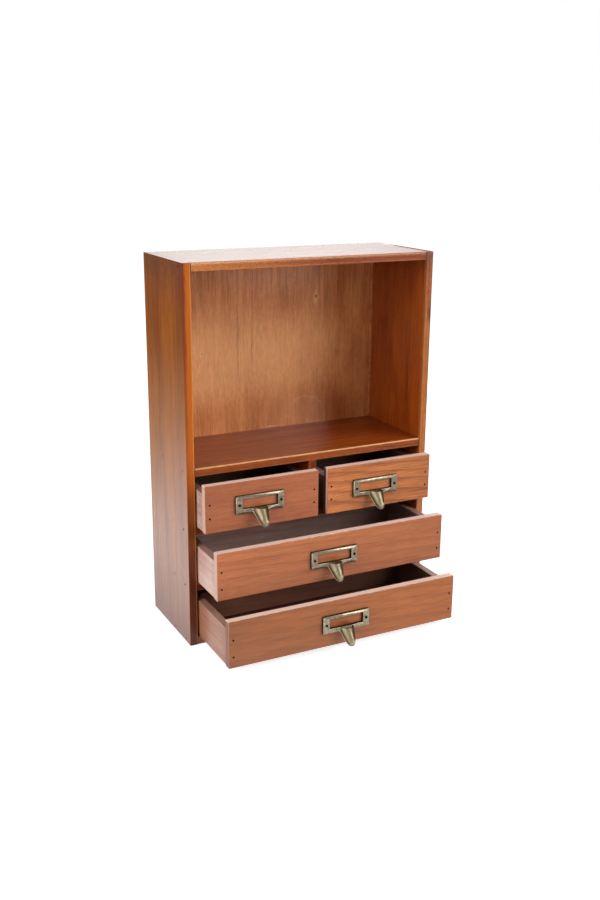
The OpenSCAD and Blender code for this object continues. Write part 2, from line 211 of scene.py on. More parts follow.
# ---- Cabinet side boards ----
# Two full-height boards of light softwood, stained orange brown and varnished, with the
# grain upright. The other boards are nailed between them.
def group(name, inputs, outputs):
    tree = bpy.data.node_groups.new(name, "ShaderNodeTree")
    for label, kind, value in inputs:
        made = tree.interface.new_socket(label, in_out="INPUT", socket_type="NodeSocket" + kind)
        made.default_value = value
    for label in outputs:
        tree.interface.new_socket(label, in_out="OUTPUT", socket_type="NodeSocketFloat")
    return tree, tree.nodes.new("NodeGroupInput").outputs, tree.nodes.new("NodeGroupOutput").inputs


def cloud(tree, vector, stretch, detail, roughness=0.6):
    place = vectors(tree, "MULTIPLY", vector, stretch)
    settings = {"Vector": place, "Scale": 1.0, "Detail": detail, "Roughness": roughness}
    return node(tree, "TexNoise", settings)


def mottle(tree, vector, stretch, detail, to_low, to_high, low=0.3, high=0.7, roughness=0.6):
    # a cloud that runs from to_low to to_high
    seen = cloud(tree, vector, stretch, detail, roughness).outputs[0]
    return spread(tree, seen, low, high, to_low, to_high)


def share(tree, *masks):
    product = masks[0]
    for mask in masks[1:]:
        product = maths(tree, "MULTIPLY", product, mask)
    return product


def total(tree, *values):
    sum_so_far = values[0]
    for value in values[1:]:
        sum_so_far = maths(tree, "ADD", sum_so_far, value)
    return sum_so_far


def daub(tree, colour, other, *masks):
    # another colour lies over the first as far as all the masks let it
    return tint(tree, share(tree, *masks), colour, other)


# Grain runs along x. The rings are shells round the heart of the tree, which lies off the
# board. Tone runs from the darkest wood at 0 to the lightest at 1.
RING_STRETCH = (0.05, 1, 1)
PORE_DEPTH = 0.7
grain, given, put = group(
    "wood_grain",
    [
        ("Vector", "Vector", (0, 0, 0)),
        ("Heart", "Vector", (0, 0.02, -0.09)),
        ("Ring Gap", "Float", 0.006),
        ("Wander", "Float", 0.010),
        ("Rings", "Float", 0.30),
        ("Bands", "Float", 0.50),
        ("Streaks", "Float", 0.42),
        ("Blotches", "Float", 0.24),
        ("Fibres", "Float", 0.50),
    ],
    ["Tone", "Relief", "Streak"],
)
drift = cloud(grain, given["Vector"], (5, 14, 14), 2).outputs["Color"]
drift = vectors(grain, "SUBTRACT", drift, (0.5, 0.5, 0.5))
sway = node(grain, "CombineXYZ", {1: given["Wander"], 2: given["Wander"]}).outputs[0]
drift = vectors(grain, "MULTIPLY", drift, sway)
around = vectors(grain, "SUBTRACT", vectors(grain, "ADD", given["Vector"], drift), given["Heart"])
around = vectors(grain, "LENGTH", vectors(grain, "MULTIPLY", around, RING_STRETCH))
year = maths(grain, "FRACT", maths(grain, "DIVIDE", around, given["Ring Gap"]))
ring = share(grain, maths(grain, "POWER", year, 3.0), spread(grain, year, 1.0, 0.88))
band = mottle(grain, given["Vector"], (3, 55, 55), 2, -0.5, 0.5)
streak = cloud(grain, given["Vector"], (12, 420, 420), 5, 0.75).outputs[0]
fibre = cloud(grain, given["Vector"], (45, 1100, 1100), 3, 0.7).outputs[0]
pore = mottle(grain, given["Vector"], (130, 2300, 2300), 1, 0.0, 1.0, 0.62, 0.72)
blotch = mottle(grain, given["Vector"], (14, 28, 28), 3, -0.5, 0.5, roughness=0.55)
tone = total(
    grain,
    0.5,
    share(grain, band, given["Bands"]),
    share(grain, spread(grain, streak, 0.3, 0.7, -0.5, 0.5), given["Streaks"]),
    share(grain, blotch, given["Blotches"]),
    share(grain, ring, given["Rings"], -1.0),
    share(grain, pore, given["Fibres"], -PORE_DEPTH),
    share(grain, spread(grain, fibre, 0.3, 0.7, -0.5, 0.5), given["Fibres"]),
)
grain.links.new(tone, put["Tone"])
grain.links.new(maths(grain, "SUBTRACT", fibre, pore), put["Relief"])
grain.links.new(streak, put["Streak"])

# Worn is 1 at a board's long edges and fades inwards, and Ends is 1 at its sawn ends.
# Joint is the thin line where it meets another board. Top, Front, Left and Right are its
# faces, each as a thin skin that has faded out at FADE.
EASE = 0.0004
SKIN = 0.0003
FADE = 0.0009
wear, given, put = group(
    "board_edges",
    [
        ("Vector", "Vector", (0, 0, 0)),
        ("Middle", "Vector", (0, 0, 0)),
        ("Half Size", "Vector", (0.1, 0.1, 0.1)),
        ("Along", "Vector", (1, 0, 0)),
        ("Reach", "Float", 0.002),
        ("End Reach", "Float", 0.008),
    ],
    ["Worn", "Ends", "Joint", "Top", "Front", "Left", "Right"],
)
from_middle = vectors(wear, "SUBTRACT", given["Vector"], given["Middle"])
inside = vectors(wear, "SUBTRACT", given["Half Size"], vectors(wear, "ABSOLUTE", from_middle))
gaps = parted(wear, inside)
least = maths(wear, "MINIMUM", gaps[0], gaps[1])
most = maths(wear, "MAXIMUM", gaps[0], gaps[1])
inward = maths(wear, "MAXIMUM", least, maths(wear, "MINIMUM", most, gaps[2]))
patchy = cloud(wear, given["Vector"], (300, 300, 300), 4).outputs[0]
reach = share(wear, given["Reach"], spread(wear, patchy, 0.35, 0.65, 0.5, 1.4))
wear.links.new(spread(wear, maths(wear, "DIVIDE", inward, reach), 1.0, 0.0), put["Worn"])
to_end = vectors(wear, "DOT_PRODUCT", inside, given["Along"])
reach = share(wear, given["End Reach"], spread(wear, patchy, 0.35, 0.65, 0.4, 1.6))
wear.links.new(spread(wear, maths(wear, "DIVIDE", to_end, reach), 1.0, 0.0, smooth=True), put["Ends"])
wear.links.new(spread(wear, to_end, FADE, SKIN), put["Joint"])
from_low = parted(wear, vectors(wear, "ADD", given["Half Size"], from_middle))
to_high = parted(wear, vectors(wear, "SUBTRACT", given["Half Size"], from_middle))
wear.links.new(spread(wear, to_high[2], FADE, EASE), put["Top"])
wear.links.new(spread(wear, from_low[1], FADE, SKIN), put["Front"])
wear.links.new(spread(wear, from_low[0], FADE, SKIN), put["Left"])
wear.links.new(spread(wear, to_high[0], FADE, SKIN), put["Right"])

TURNED = {"x": (0, 0, 0), "y": (0, 0, -math.pi / 2), "z": (0, math.pi / 2, 0)}
AXIS = {"x": (1, 0, 0), "y": (0, 1, 0), "z": (0, 0, 1)}
END_SHADE = 0.35
JOINT_LINE = (0.012, 0.003, 0.002, 1)


def stained_wood(board, along, dark, light, edge, shift, finish=None, coat=1.0, rough=0.42,
                 worn=0.4, reach=0.002, ends=0.35, end_reach=0.008, joint=0.0, figure=()):
    # dark and light are the ends of the grain's tone, edge is the colour of a worn corner,
    # and shift is how far along the tree the board was cut
    wood, tree = blank_material(board + "_wood")
    low, high = (Vector(corner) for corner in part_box(board))
    spot = node(tree, "TexCoord").outputs["Object"]
    centre = Euler(TURNED[along]).to_matrix() @ ((low + high) / 2)
    turned = node(tree, "Mapping", {
        "Vector": spot, "Location": Vector((shift, 0, 0)) - centre, "Rotation": TURNED[along],
    }).outputs[0]
    figured = node(tree, "Group", {"Vector": turned, **dict(figure)}, node_tree=grain).outputs
    edges = node(tree, "Group", {
        "Vector": spot, "Middle": (low + high) / 2, "Half Size": (high - low) / 2, "Along": AXIS[along],
        "Reach": reach, "End Reach": end_reach,
    }, node_tree=wear).outputs
    colour = tint(tree, figured["Tone"], dark, light)
    colour = daub(tree, colour, edge, edges["Worn"], worn)
    colour = daub(tree, colour, [part * END_SHADE for part in dark[:3]] + [1], edges["Ends"], ends)
    if finish:
        colour, coat = finish(tree, spot, colour, edges, coat, low, high)
    if joint:
        colour = daub(tree, colour, JOINT_LINE, edges["Joint"], joint)
    relief = node(tree, "Bump", {"Height": figured["Relief"], "Strength": 0.45, "Distance": 0.0002})
    surface = node(tree, "BsdfPrincipled", {
        "Base Color": colour, "Normal": relief.outputs[0],
        "Roughness": spread(tree, figured["Streak"], 0.3, 0.7, rough + 0.06, rough - 0.06),
        "Coat Weight": coat, "Coat Roughness": 0.25, "Coat IOR": 1.5, "IOR": 1.35,
    })
    node(tree, "OutputMaterial", {"Surface": surface.outputs[0]})
    return wood


def merged_copy(part):
    shape = bmesh.new()
    shape.from_mesh(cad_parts[part].data)
    bmesh.ops.remove_doubles(shape, verts=shape.verts, dist=1e-6)
    return shape


def smooth_piece(name, shape, crease, material):
    # faces are smooth across edges that turn by less than the crease, in degrees
    mesh = bpy.data.meshes.new(name)
    shape.to_mesh(mesh)
    shape.free()
    mesh.shade_smooth()
    mesh.set_sharp_from_angle(angle=math.radians(crease))
    mesh.materials.append(material)
    piece = bpy.data.objects.new(name, mesh)
    scene.collection.objects.link(piece)
    return piece


def eased_piece(board, body, material, ease=EASE):
    # a copy of the board with its sawn corners lightly sanded
    shape = merged_copy(board)
    bmesh.ops.dissolve_limit(shape, angle_limit=math.radians(0.5), verts=shape.verts, edges=shape.edges)
    sawn = [
        edge for edge in shape.edges
        if edge.is_manifold and edge.calc_face_angle(0) > math.radians(80) and edge.calc_length() > 0.005
    ]
    bmesh.ops.bevel(shape, geom=sawn, offset=ease, offset_type="OFFSET", affect="EDGES",
                    segments=2, profile=0.5, material=-1, clamp_overlap=True)
    piece = smooth_piece(board + "_eased", shape, 40, material)
    flatten = piece.modifiers.new("flat_faces", "WEIGHTED_NORMAL")
    flatten.keep_sharp = True
    flatten.weight = 100
    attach(piece, body)
    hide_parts(board)


SIDE_DARK = (0.180, 0.024, 0.0008, 1)
SIDE_LIGHT = (0.460, 0.095, 0.0040, 1)
SIDE_EDGE = (0.420, 0.100, 0.008, 1)
FADED_DARK = (0.210, 0.045, 0.003, 1)
FADED_LIGHT = (0.490, 0.140, 0.012, 1)
RUBBED_EDGE = (0.800, 0.270, 0.050, 1)
SHADED_EDGE_STAIN = (0.100, 0.012, 0.0010, 1)
BRIGHT_STAIN = (0.640, 0.140, 0.0015, 1)
INNER_CORNER_HIGHLIGHT = (0.900, 0.380, 0.080, 1)
DARK_CORNER = (0.16, 0.022, 0.008, 1)
DARK_BAND = (0.14, 0.026, 0.005, 1)
MID_HEIGHT_SHEEN = (0.800, 0.600, 0.550, 1)
FOOT_SHADE = (0.16, 0.030, 0.004, 1)
DARK_HEAD = (0.14, 0.020, 0.002, 1)
DARK_RIM = (0.12, 0.018, 0.008, 1)


def pooled_stain_and_light(tree, spot, colour, edges, coat, low, high):
    # the stain lies thick on the front edge, bright above and darker low down, where the dark
    # is painted shade from the drawers; its inner corner has a painted highlight and its outer
    # one is dark, and the outer face has upright bands, a faint painted sheen at mid height,
    # painted shade at its foot, a dark head, and a dark rim at its front
    front, outer = edges["Front"], edges["Left"]
    across, back, height = parted(tree, vectors(tree, "SUBTRACT", spot, low))
    thick = high.x - low.x
    # the front edge, dark low down as painted shade from the drawers, and bright above
    colour = daub(tree, colour, SHADED_EDGE_STAIN, front, 0.8)
    colour = daub(tree, colour, BRIGHT_STAIN, front, spread(tree, height, 0.07, 0.19, smooth=True), 0.85)
    # a painted highlight along the front edge's inner corner
    colour = daub(tree, colour, INNER_CORNER_HIGHLIGHT, front, spread(tree, across, thick - 0.0013, thick - 0.0006), 0.5)
    ragged = maths(tree, "ADD", across, mottle(tree, spot, (200, 200, 40), 3, -0.0008, 0.0008))
    corner = share(tree, front, spread(tree, ragged, 0.0032, 0.0012))
    colour = daub(tree, colour, DARK_CORNER, corner, spread(tree, height, 0.18, 0.30, 0.3, 0.8))
    bands = mottle(tree, spot, (0, 95, 3), 2, 0.0, 0.35, 0.52, 0.66)
    colour = daub(tree, colour, DARK_BAND, outer, bands)
    middle = share(
        tree,
        spread(tree, height, 0.12, 0.18, smooth=True),
        spread(tree, height, 0.30, 0.22, smooth=True),
    )
    # a faint painted sheen at mid height on the outer face
    colour = daub(tree, colour, MID_HEIGHT_SHEEN, outer, middle, 0.05)
    # painted shade at the foot of the outer face
    foot = share(tree, outer, spread(tree, height, 0.075, 0.005, smooth=True))
    colour = daub(tree, colour, FOOT_SHADE, foot, 0.55)
    colour = daub(tree, colour, DARK_HEAD, outer, spread(tree, height, 0.290, 0.345, smooth=True), 0.25)
    rim = share(tree, outer, spread(tree, back, 0.012, 0.004, smooth=True))
    colour = daub(tree, colour, DARK_RIM, rim, spread(tree, height, 0.12, 0.30), 0.5)
    return colour, total(tree, coat, share(tree, front, -0.7), share(tree, foot, -0.45))


BARE_ORANGE = (0.800, 0.270, 0.035, 1)
BRUISE = (0.085, 0.018, 0.006, 1)
BRUISE_SIZE = (0.0032, 0.002, 0.0110)
BRUISE_HEIGHT = 0.2925
BRUISE_INSET = 0.0015
SOILED_CORNER = (0.100, 0.018, 0.005, 1)


def dark_arrises(tree, spot, colour, edges, coat, low, high):
    # the front edge is rubbed to the bare orange below its head, with dark corners and a
    # bruise
    across, _, height = parted(tree, vectors(tree, "SUBTRACT", spot, low))
    thick = high.x - low.x
    rubbed = share(tree, edges["Front"], spread(tree, height, 0.330, 0.270, smooth=True))
    colour = daub(tree, colour, BARE_ORANGE, rubbed, 0.35)
    bruise = vectors(tree, "SUBTRACT", spot, (high.x - BRUISE_INSET, low.y, BRUISE_HEIGHT))
    bruise = vectors(tree, "LENGTH", vectors(tree, "DIVIDE", bruise, BRUISE_SIZE))
    colour = daub(tree, colour, BRUISE, spread(tree, bruise, 1.0, 0.3), 0.75)
    ragged = maths(tree, "ADD", across, mottle(tree, spot, (200, 200, 30), 3, -0.0004, 0.0004))
    corners = total(
        tree,
        spread(tree, ragged, 0.0013, 0.0006),
        spread(tree, ragged, thick - 0.0017, thick - 0.0007),
    )
    return daub(tree, colour, SOILED_CORNER, edges["Front"], corners, 0.7), coat


for name, dark, light, edge, reach, finish, shift in (
    ("left_side", FADED_DARK, FADED_LIGHT, SIDE_EDGE, 0.002, pooled_stain_and_light, 0.3),
    ("right_side", SIDE_DARK, SIDE_LIGHT, RUBBED_EDGE, 0.004, dark_arrises, 1.9),
):
    stain = stained_wood(name, "z", dark, light, edge, shift, finish=finish,
                         reach=reach, ends=0.45, end_reach=0.030, figure={"Fibres": 0.7})
    eased_piece(name, "cabinet", stain)


# ---- Top, shelves and divider ----
# Level boards nailed between the sides, of the same stained softwood with the grain
# across the cabinet, and a short upright between the small drawers. Their ends leave
# a dark line at the joints.
LEVEL_EDGE = (0.620, 0.210, 0.045, 1)
TOP_EDGE = (0.850, 0.440, 0.230, 1)
TORN_WOOD = (0.850, 0.300, 0.070, 1)
PIT = (0.120, 0.030, 0.010, 1)
# a painted highlight for the shelf's upper front corner
SHELF_ARRIS_HIGHLIGHT = (0.950, 0.500, 0.210, 1)


def rubbed_arris(tree, spot, colour, edges, coat, low, high):
    # the stain is rubbed through in specks along the upper front corner, and torn up in
    # flecks and pits at the left of the front edge
    across, back, height = parted(tree, spot)
    below = maths(tree, "SUBTRACT", high.z, height)
    behind = maths(tree, "SUBTRACT", back, low.y)
    front = share(tree, edges["Front"], spread(tree, across, low.x, 0.02, 1.0, 0.0))
    fleck = cloud(tree, spot, (420, 600, 900), 4, 0.7).outputs[0]
    colour = daub(tree, colour, TORN_WOOD, front, spread(tree, fleck, 0.35, 0.6, 0.25, 0.8))
    pits = share(tree, spread(tree, fleck, 0.62, 0.68), spread(tree, below, 0.0075, 0.0030))
    colour = daub(tree, colour, PIT, front, pits, 0.7)
    specks = mottle(tree, spot, (500, 500, 900), 3, -0.0012, 0.0012, 0.35, 0.65, 0.7)
    from_corner = total(tree, below, maths(tree, "MULTIPLY", behind, 2.0), specks)
    rubbed = share(tree, spread(tree, from_corner, 0.0026, 0.0008), 0.75)
    colour = daub(tree, colour, TOP_EDGE, rubbed, spread(tree, across, low.x, high.x, 1.0, 0.3))
    return colour, total(tree, coat, share(tree, edges["Front"], -0.6))


def arris_highlight(tree, spot, colour, edges, coat, low, high):
    # the upper front corner has a thin pale line, a painted highlight
    _, back, height = parted(tree, spot)
    below = maths(tree, "SUBTRACT", high.z, height)
    behind = maths(tree, "SUBTRACT", back, low.y)
    from_corner = total(tree, below, behind, mottle(tree, spot, (160, 400, 400), 3, -0.0003, 0.0003))
    return daub(tree, colour, SHELF_ARRIS_HIGHLIGHT, spread(tree, from_corner, 0.0014, 0.0007), 0.8), coat


for count, (name, slot, coat, finish) in enumerate((
    ("top_board", "cabinet_wood", 1.0, rubbed_arris),
    ("shelf_board", "shelf_wood", 0.6, arris_highlight),
    ("small_drawer_board", "shelf_wood", 0.6, None),
    ("wide_drawer_board", "shelf_wood", 0.6, None),
    ("bottom_board", "cabinet_wood", 0.6, None),
)):
    stain = stained_wood(name, "x", SIDE_DARK, SIDE_LIGHT, LEVEL_EDGE, 0.7 * count,
                         joint=0.9, worn=0.6, coat=coat, finish=finish)
    eased_piece(name, "cabinet", stain)
stain = stained_wood("drawer_divider", "z", SIDE_DARK, SIDE_LIGHT, LEVEL_EDGE, 5)
eased_piece("drawer_divider", "cabinet", stain)


# ---- Back panel ----
# One sheet of thin plywood with a knotty face veneer, stained lighter than the
# boards and nailed over their rear edges. It has a knot, a pin hole, dark grain
# lines, a few scratches and a trace of pale glue in its right corner.

# Mask is 1 at the middle of an oval and fades to 0 at its ragged rim.
mark, given, put = group(
    "mark",
    [
        ("Vector", "Vector", (0, 0, 0)),
        ("Centre", "Vector", (0, 0, 0)),
        ("Size", "Vector", (0.01, 0.01, 0.01)),
        ("Ragged", "Float", 0.0),
    ],
    ["Mask"],
)
torn = cloud(mark, given["Vector"], (300, 300, 300), 3).outputs["Color"]
torn = vectors(mark, "SUBTRACT", torn, (0.5, 0.5, 0.5))
ragged = node(mark, "CombineXYZ", {0: given["Ragged"], 2: given["Ragged"]}).outputs[0]
torn = vectors(mark, "MULTIPLY", torn, ragged)
apart = vectors(mark, "SUBTRACT", vectors(mark, "ADD", given["Vector"], torn), given["Centre"])
apart = vectors(mark, "LENGTH", vectors(mark, "DIVIDE", apart, given["Size"]))
mark.links.new(spread(mark, apart, 1.0, 0.2, smooth=True), put["Mask"])

MARK_DEPTH = 0.002
PANEL_MARKS_AND_LIGHT = (
    # centre x and z, half width and half height, ragged, strength, colour
    # a painted pool of light at the middle left, and more of it beside that
    (-0.0700, 0.2450, 0.1500, 0.0700, 0.030, 0.60, (1.00, 0.49, 0.20, 1)),
    (0.0300, 0.2450, 0.0900, 0.0600, 0.030, 0.50, (1.00, 0.48, 0.19, 1)),
    # painted shade at the top right
    (0.0700, 0.3400, 0.1300, 0.0450, 0.030, 0.25, (0.42, 0.11, 0.020, 1)),
    (0.0100, 0.1850, 0.1000, 0.0350, 0.030, 0.30, (0.55, 0.14, 0.020, 1)),
    (0.0100, 0.3300, 0.0900, 0.0340, 0.030, 0.60, (0.98, 0.42, 0.22, 1)),
    # painted shade along the right
    (0.1050, 0.2000, 0.0400, 0.0900, 0.030, 0.12, (0.40, 0.10, 0.015, 1)),
    (0.0530, 0.2980, 0.0055, 0.0090, 0.004, 0.40, (1.00, 0.56, 0.28, 1)),
    (0.0530, 0.2998, 0.0016, 0.0024, 0.001, 0.90, (0.12, 0.030, 0.012, 1)),
    (-0.0702, 0.2511, 0.0034, 0.0036, 0.001, 0.55, (1.00, 0.62, 0.34, 1)),
    (-0.0702, 0.2511, 0.0010, 0.0011, 0.0, 0.95, (0.020, 0.006, 0.004, 1)),
    (-0.0325, 0.2660, 0.0016, 0.0700, 0.004, 0.40, (0.26, 0.075, 0.026, 1)),
    (-0.0175, 0.2580, 0.0010, 0.0300, 0.003, 0.45, (0.22, 0.060, 0.020, 1)),
    (0.0443, 0.1732, 0.0012, 0.0010, 0.001, 0.90, (0.95, 0.75, 0.55, 1)),
    (0.0050, 0.1714, 0.0130, 0.0008, 0.003, 0.70, (0.90, 0.62, 0.42, 1)),
)
PANEL_DARK = (0.560, 0.160, 0.036, 1)
PANEL_LIGHT = (0.990, 0.410, 0.138, 1)
TRAIL = (0.34, 0.095, 0.024, 1)
SCRATCH = (0.98, 0.62, 0.36, 1)
SCRATCH_MIDDLE = (0.0432, 0, 0.177)
SCRATCH_RADIUS = (0.0185, 0.0235)
GLUE = (0.80, 0.62, 0.42, 1)
GLUE_LINE = 0.1171
THIN_EASE = 0.0002


def toned(tree, colour, tone):
    return node(tree, "VectorMath", {0: colour, "Scale": tone}, operation="SCALE").outputs["Vector"]


def panel_marks_and_light(tree, spot, colour, edges, coat, low, high):
    # each mark in turn, the first of which include a painted pool of light at the middle left
    # and painted shade at the top right and along the right, then dark trails at the head, a
    # curved scratch round a wandering radius, a broken line of glue and a fine speckle
    for x, z, half_width, half_height, ragged, strength, shade in PANEL_MARKS_AND_LIGHT:
        seen = node(tree, "Group", {
            "Vector": spot, "Centre": (x, low.y, z), "Size": (half_width, MARK_DEPTH, half_height),
            "Ragged": ragged,
        }, node_tree=mark).outputs[0]
        colour = daub(tree, colour, shade, seen, strength)
    across, back, height = parted(tree, spot)
    trails = mottle(tree, spot, (420, 420, 22), 3, 0.0, 1.0, 0.44, 0.62)
    colour = daub(tree, colour, TRAIL, trails, spread(tree, height, 0.255, 0.325, smooth=True), 0.35)
    radius = mottle(tree, spot, (90, 90, 90), 3, *SCRATCH_RADIUS)
    reach = vectors(tree, "MULTIPLY", vectors(tree, "SUBTRACT", spot, SCRATCH_MIDDLE), (1, 0, 1))
    beside = maths(tree, "SUBTRACT", vectors(tree, "LENGTH", reach), radius)
    arc = spread(tree, maths(tree, "ABSOLUTE", beside), 0.0009, 0.0002)
    skin = spread(tree, maths(tree, "SUBTRACT", back, low.y), 0.0015, 0.0005)
    colour = daub(tree, colour, SCRATCH, arc, spread(tree, height, 0.180, 0.190), skin, 0.3)
    broken = mottle(tree, spot, (0, 0, 90), 2, 0.0, 1.0, 0.42, 0.55)
    line = spread(tree, maths(tree, "ABSOLUTE", maths(tree, "SUBTRACT", across, GLUE_LINE)), 0.0009, 0.0002)
    colour = daub(tree, colour, GLUE, line, broken, 0.5)
    return toned(tree, colour, mottle(tree, spot, (1700, 1700, 140), 4, 0.82, 1.17, 0.34, 0.66, 0.7)), coat


figure = {
    "Heart": (0, 0.3, -0.5), "Ring Gap": 0.02, "Rings": 0.12, "Wander": 0.05,
    "Blotches": 0.6, "Streaks": 0.45, "Fibres": 0.50,
}
stain = stained_wood("back_panel", "z", PANEL_DARK, PANEL_LIGHT, PANEL_DARK, 3.1,
                     finish=panel_marks_and_light, figure=figure)
eased_piece("back_panel", "cabinet", stain, ease=THIN_EASE)


# ---- Nails and holder pins ----
# Steel nails with small flat heads, punched just below the wood and browned by the
# stain, and round-headed pins in the label holders.
IRON_DARK = (0.010, 0.003, 0.002, 1)
IRON_BROWN = (0.045, 0.016, 0.009, 1)
iron, tree = blank_material("browned_steel")
spot = node(tree, "TexCoord").outputs["Object"]
rust = cloud(tree, spot, (1500, 1500, 1500), 3).outputs[0]
surface = node(tree, "BsdfPrincipled", {
    "Base Color": tint(tree, spread(tree, rust, 0.35, 0.7), IRON_DARK, IRON_BROWN),
    "Metallic": 0.0, "IOR": 1.2, "Roughness": spread(tree, rust, 0.3, 0.7, 0.55, 0.8),
})
node(tree, "OutputMaterial", {"Surface": surface.outputs[0]})
for name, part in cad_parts.items():
    if name.endswith(("_nails", "_pins")):
        part.data.materials.clear()
        part.data.materials.append(iron)


# ---- Drawers ----
# Four boxes that slide on the boards: a thick front, stained on its face only and nailed
# at its ends, two side boards and a back of paler wood, and a thin dark bottom panel.

# Half the width and half the height of a label holder and of its window, and how far the
# window's middle lies above the holder's.
HOLDER = (0.0238, 0.00835)
WINDOW = (0.0172, 0.0047)
WINDOW_RISE = 0.00075


def past_edge(tree, place, half_size, rise=0.0):
    # how far a place lies outside an upright rectangle, and below 0 within it
    apart = vectors(tree, "ABSOLUTE", vectors(tree, "SUBTRACT", place, (0, 0, rise)))
    beside, _, above = parted(tree, vectors(tree, "SUBTRACT", apart, (half_size[0], 0, half_size[1])))
    return maths(tree, "MAXIMUM", beside, above)


def holder_middle(drawer):
    low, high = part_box(drawer + "_label_holder")
    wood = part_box(drawer + "_front")[0][1]
    return ((low[0] + high[0]) / 2, wood, high[2] - HOLDER[1])


# Bare is the unstained wood round a front's face, and Sawn is its rough grain. The holder
# mask is painted shade on the wood under and just round the label holder's frame. Tone
# scales how light the front is, given at the left and the right of the front's foot and head.
face, given, put = group(
    "front_face",
    [
        ("Vector", "Vector", (0, 0, 0)),
        ("Low Corner", "Vector", (0, 0, 0)),
        ("Size", "Vector", (0.1, 0.01, 0.1)),
        ("Holder", "Vector", (0, 0, 0)),
        ("Foot Tones", "Vector", (1, 1, 0)),
        ("Head Tones", "Vector", (1, 1, 0)),
    ],
    ["Bare", "Sawn", "Holder Shade", "Tone"],
)
from_low = vectors(face, "SUBTRACT", given["Vector"], given["Low Corner"])
crept = mottle(face, given["Vector"], (260, 260, 260), 3, -0.0001, 0.0005, 0.35, 0.65)
depth = maths(face, "SUBTRACT", parted(face, from_low)[1], crept)
face.links.new(spread(face, depth, 0.0003, 0.0008), put["Bare"])
face.links.new(mottle(face, given["Vector"], (40, 900, 900), 4, 0.55, 1.0, roughness=0.7), put["Sawn"])
from_holder = vectors(face, "SUBTRACT", given["Vector"], given["Holder"])
# painted shade on the wood under and just round the holder's frame
under = spread(face, past_edge(face, from_holder, HOLDER), 0.0005, -0.0002)
round_window = spread(face, past_edge(face, from_holder, WINDOW, WINDOW_RISE), -0.0006, 0.0001)
face.links.new(share(face, under, round_window), put["Holder Shade"])
across, _, height = parted(face, vectors(face, "DIVIDE", from_low, given["Size"]))
tones = [parted(face, given[label]) for label in ("Foot Tones", "Head Tones")]
foot, head = (spread(face, across, 0.0, 1.0, left, right) for left, right, _ in tones)
face.links.new(spread(face, height, 0.0, 1.0, foot, head), put["Tone"])

RAW = (0.820, 0.500, 0.380, 1)
# the fronts' bare tops: pale planed wood, lightened further as a painted sheen
PLANED_AND_SHEEN = (1.000, 0.720, 0.600, 1)
# a darker wood for the lower front's sawn ends
DARK_END_WOOD = (0.235, 0.026, 0.001, 1)
SAWN = (0.420, 0.230, 0.170, 1)
# Each front's darkest and lightest stain, the wood at its sawn ends, how far it is shaded
# at its left, its tones at the left and right of its foot and head, what the colour of its
# box is multiplied by, for paler wood and a painted sheen, and the figure of its grain.
FRONTS = {
    "small_left": {
        "dark": (0.330, 0.085, 0.028, 1), "light": (0.610, 0.175, 0.052, 1), "end": RAW, "shade": 0.0,
        "foot_tones": (0.98, 1.12, 0), "head_tones": (1.03, 1.10, 0), "box_paleness_and_sheen": (1.50, 1.50, 1.50),
        "figure": {"Streaks": 0.35, "Bands": 0.3, "Rings": 0.15, "Wander": 0.003},
    },
    "small_right": {
        "dark": (0.350, 0.085, 0.018, 1), "light": (0.900, 0.300, 0.068, 1), "end": RAW, "shade": 0.0,
        "foot_tones": (1.15, 0.92, 0), "head_tones": (1.08, 0.84, 0), "box_paleness_and_sheen": (1.50, 1.50, 1.50),
        "figure": {
            "Streaks": 0.45, "Bands": 0.35, "Rings": 0.55, "Ring Gap": 0.0045, "Wander": 0.016,
            "Heart": (0, 0.05, -0.045),
        },
    },
    "upper_wide": {
        "dark": (0.340, 0.090, 0.025, 1), "light": (0.660, 0.200, 0.056, 1), "end": RAW, "shade": 0.0,
        "foot_tones": (0.92, 1.05, 0), "head_tones": (1.34, 0.90, 0), "box_paleness_and_sheen": (1.75, 1.75, 1.75),
        "figure": {"Streaks": 0.40, "Bands": 0.25, "Rings": 0.3, "Ring Gap": 0.005, "Wander": 0.004},
    },
    "lower_wide": {
        "dark": (0.325, 0.081, 0.013, 1), "light": (0.670, 0.190, 0.031, 1), "end": DARK_END_WOOD, "shade": 0.32,
        "foot_tones": (0.92, 1.10, 0), "head_tones": (1.00, 1.04, 0), "box_paleness_and_sheen": (0.98, 0.6272, 0.4214),
        "figure": {"Streaks": 0.45, "Bands": 0.28, "Rings": 0.3, "Ring Gap": 0.004, "Wander": 0.002},
    },
}
FRONT_EDGE = (0.380, 0.120, 0.045, 1)
SHADE = (0.120, 0.040, 0.015, 1)
GAP_SHADE = (0.020, 0.008, 0.005, 1)
PAINTED_HOLDER_SHADE = (0.02, 0.006, 0.003, 1)
BOX_DARK = (0.340, 0.195, 0.159, 1)
BOX_LIGHT = (0.560, 0.394, 0.348, 1)
INSIDE_SHADE = (0.050, 0.020, 0.015, 1)
GAP_BOARD_SHADE = (0.030, 0.014, 0.010, 1)
FLOOR_DARK = (0.085, 0.020, 0.013, 1)
FLOOR_LIGHT = (0.190, 0.058, 0.042, 1)


